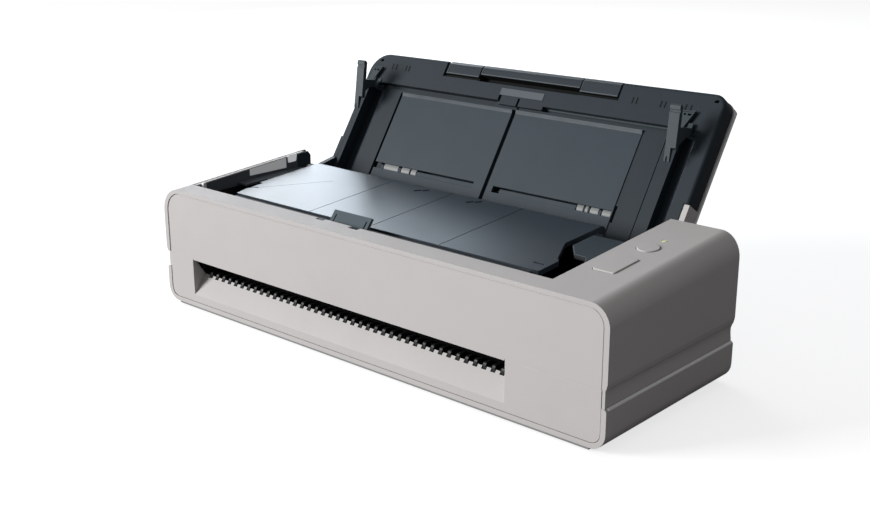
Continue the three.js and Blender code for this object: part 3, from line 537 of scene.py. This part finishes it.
def side_guides():
    post = rounded([(45.4, -4.7, 0.2), (53.0, -1.2, 3.0), (68.5, 6.4, 3.0), (70.8, 7.5, 0.9), (72.0, 6.6, 0.8), (71.4, 4.8, 0.6),
                    (69.8, 4.2, 1.0), (54.0, -3.6, 2.0), (46.0, -5.9, 0.3)], 5)
    web = [(53.5, -3.0), (62.0, 0.9), (66.4, -9.4), (69.0, -9.6), (69.0, -11.1), (64.6, -11.1), (61.6, -8.6)]
    for side, c, body in (("left", 25.5, "guide_left"), ("right", 242.5, "guide_right")):
        s = pX(post, c - 2.9, c + 2.9)
        # rounded thumb end, a step under it, and the forked lower end
        s = keep(s, pZ(rounded([(c - 2.9, 40, 0), (c + 2.9, 40, 0), (c + 2.9, 72.6, 1.7), (c - 2.9, 72.6, 1.7)], 8), -20, 20))
        s = cut(s, pX([(67.9, 5.5), (68.9, 6.0), (68.9, 9), (66.9, 9), (66.9, 6.6)], c - 4, c + 4),
                box(c + 0.2, c + 4, 40, 52, -12, 2),
                box(c - 1.9, c - 1.1, 40, 47.8, -12, 2))
        # triangular base plate with two slots, edged with a thin rib
        plate = pZ([(c - 5.7, 65.0), (c - 2.5, 65.0), (c - 2.5, 62.6), (c + 2.9, 62.6), (c + 2.9, 66.2), (c - 1.9, 66.2), (c + 1.8, 75.8), (c - 5.7, 75.2)], -11.1, -9.9)
        ribs = [pZ([(c - 5.7, 74.6), (c - 5.7, 75.2), (c + 1.8, 75.8), (c + 1.55, 75.2)], -10.4, -9.3),
                pZ([(c - 1.9, 66.2), (c + 1.8, 75.8), (c + 1.1, 75.75), (c - 2.5, 66.4)], -10.4, -9.3)]
        plate = join(plate, *ribs)
        plate = cut(plate, box(c - 4.5, c - 3.3, 73.0, 74.1, -12, -5), box(c - 2.4, c + 0.1, 73.0, 74.1, -12, -5))
        w0 = c - 2.9 if side == "left" else c + 0.3
        s = join(s, pX(web, w0, w0 + 2.6), plate)
        if side == "left":
            foot = [box(c - 2.4, c + 3.2, 65.7, 68.6, -14.3, -10.9), box(c - 2.4, c + 3.2, 65.7, 76.4, -14.3, -13.35),
                    box(c - 2.4, 150, 75.2, 76.4, -14.3, -13.35)]
        else:
            foot = [box(c - 3.2, c + 2.4, 65.7, 68.6, -15.7, -10.9), box(118, c + 2.4, 65.7, 66.8, -15.7, -14.6)]
        s = join(s, *foot)
        put("sheet_guide_" + side, s, to_cover, "slate_guide", body, "slate", "side_guide_" + side, edge=0.18, angle=30)


cover_tray()
handle()
chute_panels()
band_plate()
size_ticks()
rollers()
side_guides()

# ------------------------------------------------------------------ bed, filler and stopper
def between_planes(s, low, high, x0=0, x1=300):
    return cut(s, pX([(-20, low(-20)), (140, low(140)), (140, 20), (-20, 20)], x0 - 10, x1 + 10),
               pX([(-20, high(-20)), (140, high(140)), (140, 110), (-20, 110)], x0 - 10, x1 + 10))


def stacker_bed():
    outline = rounded([(30.4, 27.2, 0.4), (239.2, 27.2, 0.5), (239.2, 42.2, 0.8), (236.4, 45.2, 0.8), (227.6, 62.8, 0.8), (228.4, 96, 3.0), (26.2, 96, 1.0),
                       (26.2, 47.6, 0.4), (28.8, 47.2, 0.3), (28.8, 34.5, 0.5)], 6)
    s = between_planes(pZ(outline, 50, 80), lambda y: zbed(y) - 2.6, zbed)
    # softly rounded crest at the back edge
    roll = [(88.0, zbed(88) - 2.4), (88.0, zbed(88) - 0.01)]
    for k in range(1, 11):
        a = math.pi / 2 * k / 10
        roll.append((91.6 + 4.3 * math.sin(a), zbed(91.6) - 4.3 * (1 - math.cos(a)) + 0.04))
    roll += [(95.9, 62.6), (94.0, 62.6)]
    s = cut(s, pX([(91.6, zbed(91.6) - 6), (91.6, 80), (99, 80), (99, zbed(91.6) - 6)], 20, 232))
    s = join(s, pX(roll, 26.6, 228.2))
    # knuckles on the hinge rod
    knuckles = []
    for x in (32.6, 128, 228.5):
        k = pX(rounded([(25.6, 60.4, 0), (25.2, 57.2, 1), (26.2, 55.2, 1), (28, 54.6, 1), (29.8, 55.2, 1), (30.8, 57.2, 1), (33, 62.4, 0), (27, 62.0, 0)], 4), x, x + 6)
        knuckles.append(cut(k, rod(x - 1, x + 7, 28, 57.2, 1.85)))
    s = join(s, *knuckles)
    # seams of the bed plates
    for x in (89.0, 132.5, 179.5):
        s = cut(s, pX([(25, zbed(25) - 0.5), (94, zbed(94) - 0.5), (94, 80), (25, 80)], x - 0.22, x + 0.22))

    # small catches near the back edge and the finger slot near the front corner
    def slot(x0, y0, x1, y1, w):
        d = Vector((x1 - x0, y1 - y0)).normalized()
        n = Vector((-d.y, d.x)) * (w / 2)
        return pZ([(x0 - n.x, y0 - n.y), (x1 - n.x, y1 - n.y), (x1 + n.x, y1 + n.y), (x0 + n.x, y0 + n.y)], 60, 80)
    s = cut(s, slot(111.6, 83.6, 114.2, 87.0, 1.9), slot(115.4, 86.2, 117.8, 89.6, 1.9),
            slot(148.4, 83.8, 151.0, 87.2, 1.9), slot(152.2, 86.4, 154.6, 89.8, 1.9),
            pZ(rect(230.6, 34.0, 236.4, 35.4, 0.4), 61, 80))
    # stepped notch by the left edge and the thin line that runs from it
    s = cut(s, pZ([(28.0, 36.2), (28.6, 36.4), (30.6, 39.0), (33.4, 39.8), (33.4, 40.8), (30.0, 40.2), (28.6, 38.4), (28.0, 38.0)], 60, 80),
            pZ([(33.2, 40.0), (60.0, 72.0), (60.0, 72.4), (33.2, 40.5)], zbed(40) - 0.1, 80))
    put("bed_plate", s, to_body, "bed", "bed", "slate", "stacker_bed", edge=0.25, angle=28)


def drive_cover():
    outline = rounded([(250.6, 16, 0.4), (256.3, 16, 0.4), (256.3, 79.6, 0.4), (232.2, 79.6, 0.6), (232.2, 62.6, 0.8), (239.6, 53.6, 0.8), (246.2, 53.4, 0.8), (250.6, 46, 0.6)], 5)
    low = between_planes(pZ(outline, 50, 80), lambda y: zbed(y) - 2.4, lambda y: zbed(y) - 0.7)
    low = join(low, box(250.8, 256.2, 20, 44, 46.7, 61), box(233.5, 239, 64, 78, 46.7, 63.5))
    put("side_cover_foot", low, to_body, "dark", "base", "slate", edge=0.1, angle=28)
    s = between_planes(pZ(outline, 50, 80), lambda y: zbed(y) - 0.7, zbed)
    put("side_cover", s, to_body, "slate", "base", "slate", "drive_side_cover", edge=0.3, angle=28)


def stopper():
    a = math.radians(50)
    y0, z0, L = 13.4, 63.4, 9.34

    def at(s, n):
        return (y0 + s * math.cos(a) - n * math.sin(a), z0 + s * math.sin(a) + n * math.cos(a))

    def plate(s0, s1, n0, n1, x0, x1):
        return pX([at(s0, n0), at(s1, n0), at(s1, n1), at(s0, n1)], x0, x1)
    s = plate(0, L, -0.8, 0.8, 117.7, 143.7)
    # slits at both ends
    s = cut(s, plate(1.6, 7.0, -2, 2, 119.9, 120.6), plate(1.6, 7.0, -2, 2, 141.0, 141.8))
    s = join(s, rod(114.2, 147.1, y0, z0, 1.1))
    put("stopper_plate", s, to_body, "slate_light", "stopper", "slate", "stopper_flap", edge=0.25, angle=28)


def deck():
    s = join(cut(box(12.3, 258.3, 11.6, 95, 44.5, 46.3), box(24, 241, 78, 96, 44, 47)),
             pX([(11.6, 45), (92.6, 45), (92.6, ztop(92.6) - 1.0), (11.6, ztop(11.6) - 1.0)], 12.3, 14.2),
             pX([(11.6, 45), (79, 45), (79, ztop(79) - 3.8), (11.6, ztop(11.6) - 3.8)], 256.7, 258.3),
             box(12.3, 258.3, 11.6, 13.2, 45, ZF - 3.2),
             box(31.0, 235, 13, 26.7, 60.4, 61.9), box(150.0, 232.0, 77.0, 78.6, 45, 62.2),
             box(29, 31, 25.4, 30.6, 45, 57.2), box(236, 238, 25.4, 30.6, 45, 57.2),
             rod(29, 31, 28, 57.2, 2.6), rod(236, 238, 28, 57.2, 2.6),
             box(113.8, 117.0, 11.6, 15.6, 60, 63.4), box(144.4, 147.6, 11.6, 15.6, 60, 63.4))
    s = cut(s, box(117.0, 144.4, 11, 13.6, 60.6, 70), rod(113, 148, 13.4, 63.4, 1.4),
            rod(28, 32, 28, 57.2, 1.85), rod(235, 239, 28, 57.2, 1.85))
    put("deck_walls", s, to_body, "dark", "base", "dark", "inner_deck", edge=0.2, angle=28)
    wall = pX([(12.2, 61.5), (92.4, 61.5), (92.4, ztop(92.4) - 1.05), (12.2, ztop(12.2) - 1.05)], 14.12, 14.3)
    put("wall_lining", wall, to_body, "slate_deck", "base", "dark", edge=0.05)
    # ledges beside the bed, and details of the left inner wall; the ledges' paler slate is partly painted light on
    # their shaded top
    ledge = join(pX([(56, 62.8), (88, 62.8), (88, 64.5), (56, 64.0)], 14.3, 25.5), pX([(41, 62.6), (57, 62.6), (57, 64.0), (41, 63.7)], 14.3, 21.9))
    put("wall_ledge", ledge, to_body, "slate_ledge", "base", "dark", edge=0.2)
    cap = pX([(11.8, ztop(11.8) - 0.95), (92.6, ztop(92.6) - 0.95), (92.6, ztop(92.6) - 0.3), (11.8, ztop(11.8) - 0.3)], 12.15, 14.3)
    put("wall_cap", cap, to_body, "shell", "base", "shell", edge=0.15)
    rib = pX([(15.2, 62.6), (18.0, 62.6), (17.6, ztop(16) + 0.3), (15.6, ztop(16) + 0.3)], 14.25, 16.2)
    put("wall_rib", rib, to_body, "block_grey", "base", "shell", edge=0.3)
    # pads on the left inner wall; their materials carry a painted glow
    block = pX([(50.2, 65.8), (77.8, 65.6), (77.8, ztop(77.8) - 0.9), (50.2, ztop(50.2) - 0.9)], 14.15, 14.62)
    put("wall_block", block, to_body, "pad_grey_glow", "base", "shell", edge=0.12)
    tab = pX(rounded([(79.4, 68.2, 0.8), (85.6, 68.4, 0.8), (86.4, ztop(86) + 0.2, 0.5), (79.2, ztop(79) + 0.2, 0.3)], 4), 14.15, 14.66)
    put("wall_tab", tab, to_body, "pad_pale_glow", "base", "shell", edge=0.15)
    end = pX([(87.0, 64.4), (97.2, 64.4), (97.2, 70.2), (95.2, 72.7), (87.0, ztop(87) - 1.1)], 14.1, 14.65)
    put("wall_end", end, to_body, "slate", "base", "slate", edge=0.12)


def front_face():
    # inset upper front face with a soft edge
    outline = rounded([(3.4, 29.6, 0), (23.1, 29.6, 0), (23.1, 28.8, 0), (241.8, 28.8, 0), (241.8, 29.6, 0),
                       (292.8, 29.6, 0), (292.8, 64.1, 7.3), (3.4, 64.1, 10.5)], 14)
    under = rounded([(2.92, 29.3, 0), (23.1, 29.3, 0), (23.1, 28.8, 0), (241.8, 28.8, 0), (241.8, 29.3, 0),
                     (293.28, 29.3, 0), (293.28, 64.58, 7.78), (2.92, 64.58, 10.98)], 14)
    s = join(pY(outline, 0.3, 1.0), pY(under, 0.72, 1.55))
    put("front_face", s, to_body, "shell", "base", "shell", "front_panel", edge=0.32)
    # the parting of the two front panels stays shallow
    seam = join(box(3.1, 22.9, 0.36, 0.7, 29.25, 29.65), box(241.9, 293.1, 0.36, 0.7, 29.25, 29.65))
    for x0, x1, name in ((293.02, 294.72, "front_corner_right"), (1.28, 2.98, "front_corner_left")):
        put(name, box(x0, x1, 0.6, 1.5, 21.35, 29.75), to_body, "shell", "base", "shell", edge=0.1)
    put("front_seam", seam, to_body, "shell", "base", "shell", edge=0.03)
    # rounded lip along the upper edge of the base at both ends, in pale plastic as a painted highlight, and a grey
    # strip under the base as painted shadow in the gap above the floor
    for name, k in (("base_lip_right", 1), ("base_lip_left", -1)):
        pts = [(148 + k * (x - 148), z) for x, z in [(295.1, 21.5), (295.75, 20.75), (296.0, 20.5), (296.05, 20.8), (295.9, 21.25), (295.5, 21.6), (295.1, 21.75)]]
        put(name, pY(pts, 1.6, 104.2), to_body, "pale_highlight", "base", "shell", edge=0.06)
    shadow_plinth = cut(box(8.5, 287.5, 0.7, 104.0, 0.75, 2.15), box(12.5, 283.5, 5.0, 100.0, 0, 3))
    put("shadow_plinth", shadow_plinth, to_body, "roller", "base", "dark", edge=0.1)


stacker_bed()
drive_cover()
stopper()
deck()
front_face()

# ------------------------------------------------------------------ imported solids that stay
EDGE = {"shell": 0.35, "slate": 0.25, "dark": 0.2, "base_plate": 0.3, "rubber": 0.25, "steel": 0.12,
        "white": 0.12, "board": 0.1, "glass": 0.1, "lamp": 0.12}
LOOK = {"cover_screw_left": "screw", "cover_screw_right": "screw", "hinge_bracket_left": "slate_dark"}
for node_name, node in NODES.items():
    look = LOOK.get(node_name, SLOT_OF[node_name])
    node.data.materials.clear()
    node.data.materials.append(M[look])
    soften(node, EDGE[SLOT_OF[node_name]], 34, 2, 0.5)

# ------------------------------------------------------------------ stage
floor_me = bpy.data.meshes.new("floor")
bm = bmesh.new()
bmesh.ops.create_grid(bm, x_segments=1, y_segments=1, size=6.0)
bm.to_mesh(floor_me)
bm.free()
floor = bpy.data.objects.new("floor", floor_me)
SCENE.collection.objects.link(floor)
fm, fnt, fb = new_material("paper_white")
ftc = fnt.nodes.new("ShaderNodeTexCoord")
fn = noise(fnt, 3.0, 2.0, 0.5, 0.0, ftc.outputs["Object"])
fc = ramp(fnt, fn.outputs["Fac"], [(0.3, (0.50, 0.50, 0.50, 1)), (0.7, (0.52, 0.52, 0.52, 1))])
fnt.links.new(fc.outputs["Color"], fb.inputs["Base Color"])
fb.inputs["Roughness"].default_value = 0.9
fb.inputs["Specular IOR Level"].default_value = 0.0
fb.inputs["Emission Color"].default_value = (1, 1, 1, 1)
fb.inputs["Emission Strength"].default_value = 0.72
# the paper sweep throws only a little light back up, as with a dark table under it
dim = fnt.nodes.new("ShaderNodeBsdfDiffuse")
dim.inputs["Color"].default_value = (0.14, 0.14, 0.14, 1)
seen = fnt.nodes.new("ShaderNodeLightPath")
mixf = fnt.nodes.new("ShaderNodeMixShader")
outf = [n for n in fnt.nodes if n.type == "OUTPUT_MATERIAL"][0]
fnt.links.new(seen.outputs["Is Camera Ray"], mixf.inputs[0])
fnt.links.new(dim.outputs["BSDF"], mixf.inputs[1])
fnt.links.new(fb.outputs["BSDF"], mixf.inputs[2])
fnt.links.new(mixf.outputs["Shader"], outf.inputs["Surface"])
floor.data.materials.append(fm)

SCENE.view_settings.view_transform = "Standard"
world = bpy.data.worlds.new("studio")
SCENE.world = world
world.use_nodes = True
wnt = world.node_tree
bg = wnt.nodes["Background"]
bg.inputs["Color"].default_value = (1.0, 1.0, 1.0, 1)
bg.inputs["Strength"].default_value = 0.255


def area(name, loc, target, size, power, size_y=None, colour=(1, 1, 1)):
    light = bpy.data.lights.new(name, "AREA")
    light.energy = power
    light.color = colour
    light.shape = "RECTANGLE"
    light.size = size
    light.size_y = size_y or size
    o = bpy.data.objects.new(name, light)
    SCENE.collection.objects.link(o)
    o.location = loc
    d = Vector(target) - Vector(loc)
    o.rotation_euler = d.to_track_quat("-Z", "Y").to_euler()
    return o


KEY = Vector((-0.60, -0.74, 0.28)).normalized()
area("key", KEY * 3.2, (0, 0, 0.04), 1.25, 128.0)
area("top", (-0.10, 0.10, 1.9), (0, 0, 0.05), 0.9, 1.6)
# window-like panels behind the left shoulder: the sheen on the bed comes from them
area("back_left", (-1.22, 0.46, 0.56), (-0.05, 0.0, 0.05), 0.86, 8.2, 0.6, (0.88, 0.94, 1.0))
area("back_mid", (-1.00, 0.93, 0.50), (-0.05, 0.0, 0.05), 0.30, 1.7, 0.6, (0.74, 0.87, 1.0))

# ------------------------------------------------------------------ camera
CAM = Vector(((554.134 + OX) * MM, (-393.574 + OY) * MM, 234.811 * MM))
AZ, EL, ROLL = math.radians(41.853), math.radians(17.685), math.radians(-0.092)
cam_data = bpy.data.cameras.new("photo_view")
cam_data.sensor_width = 36.0
cam_data.lens = 51.213
cam_data.clip_start = 0.01
cam_data.clip_end = 50.0
cam = bpy.data.objects.new("photo_view", cam_data)
SCENE.collection.objects.link(cam)
back = Vector((math.sin(AZ) * math.cos(EL), -math.cos(AZ) * math.cos(EL), math.sin(EL)))
rot = (-back).to_track_quat("-Z", "Y").to_matrix().to_4x4()
cam.matrix_world = Matrix.Translation(CAM) @ rot @ Matrix.Rotation(ROLL, 4, "Z")
SCENE.camera = cam
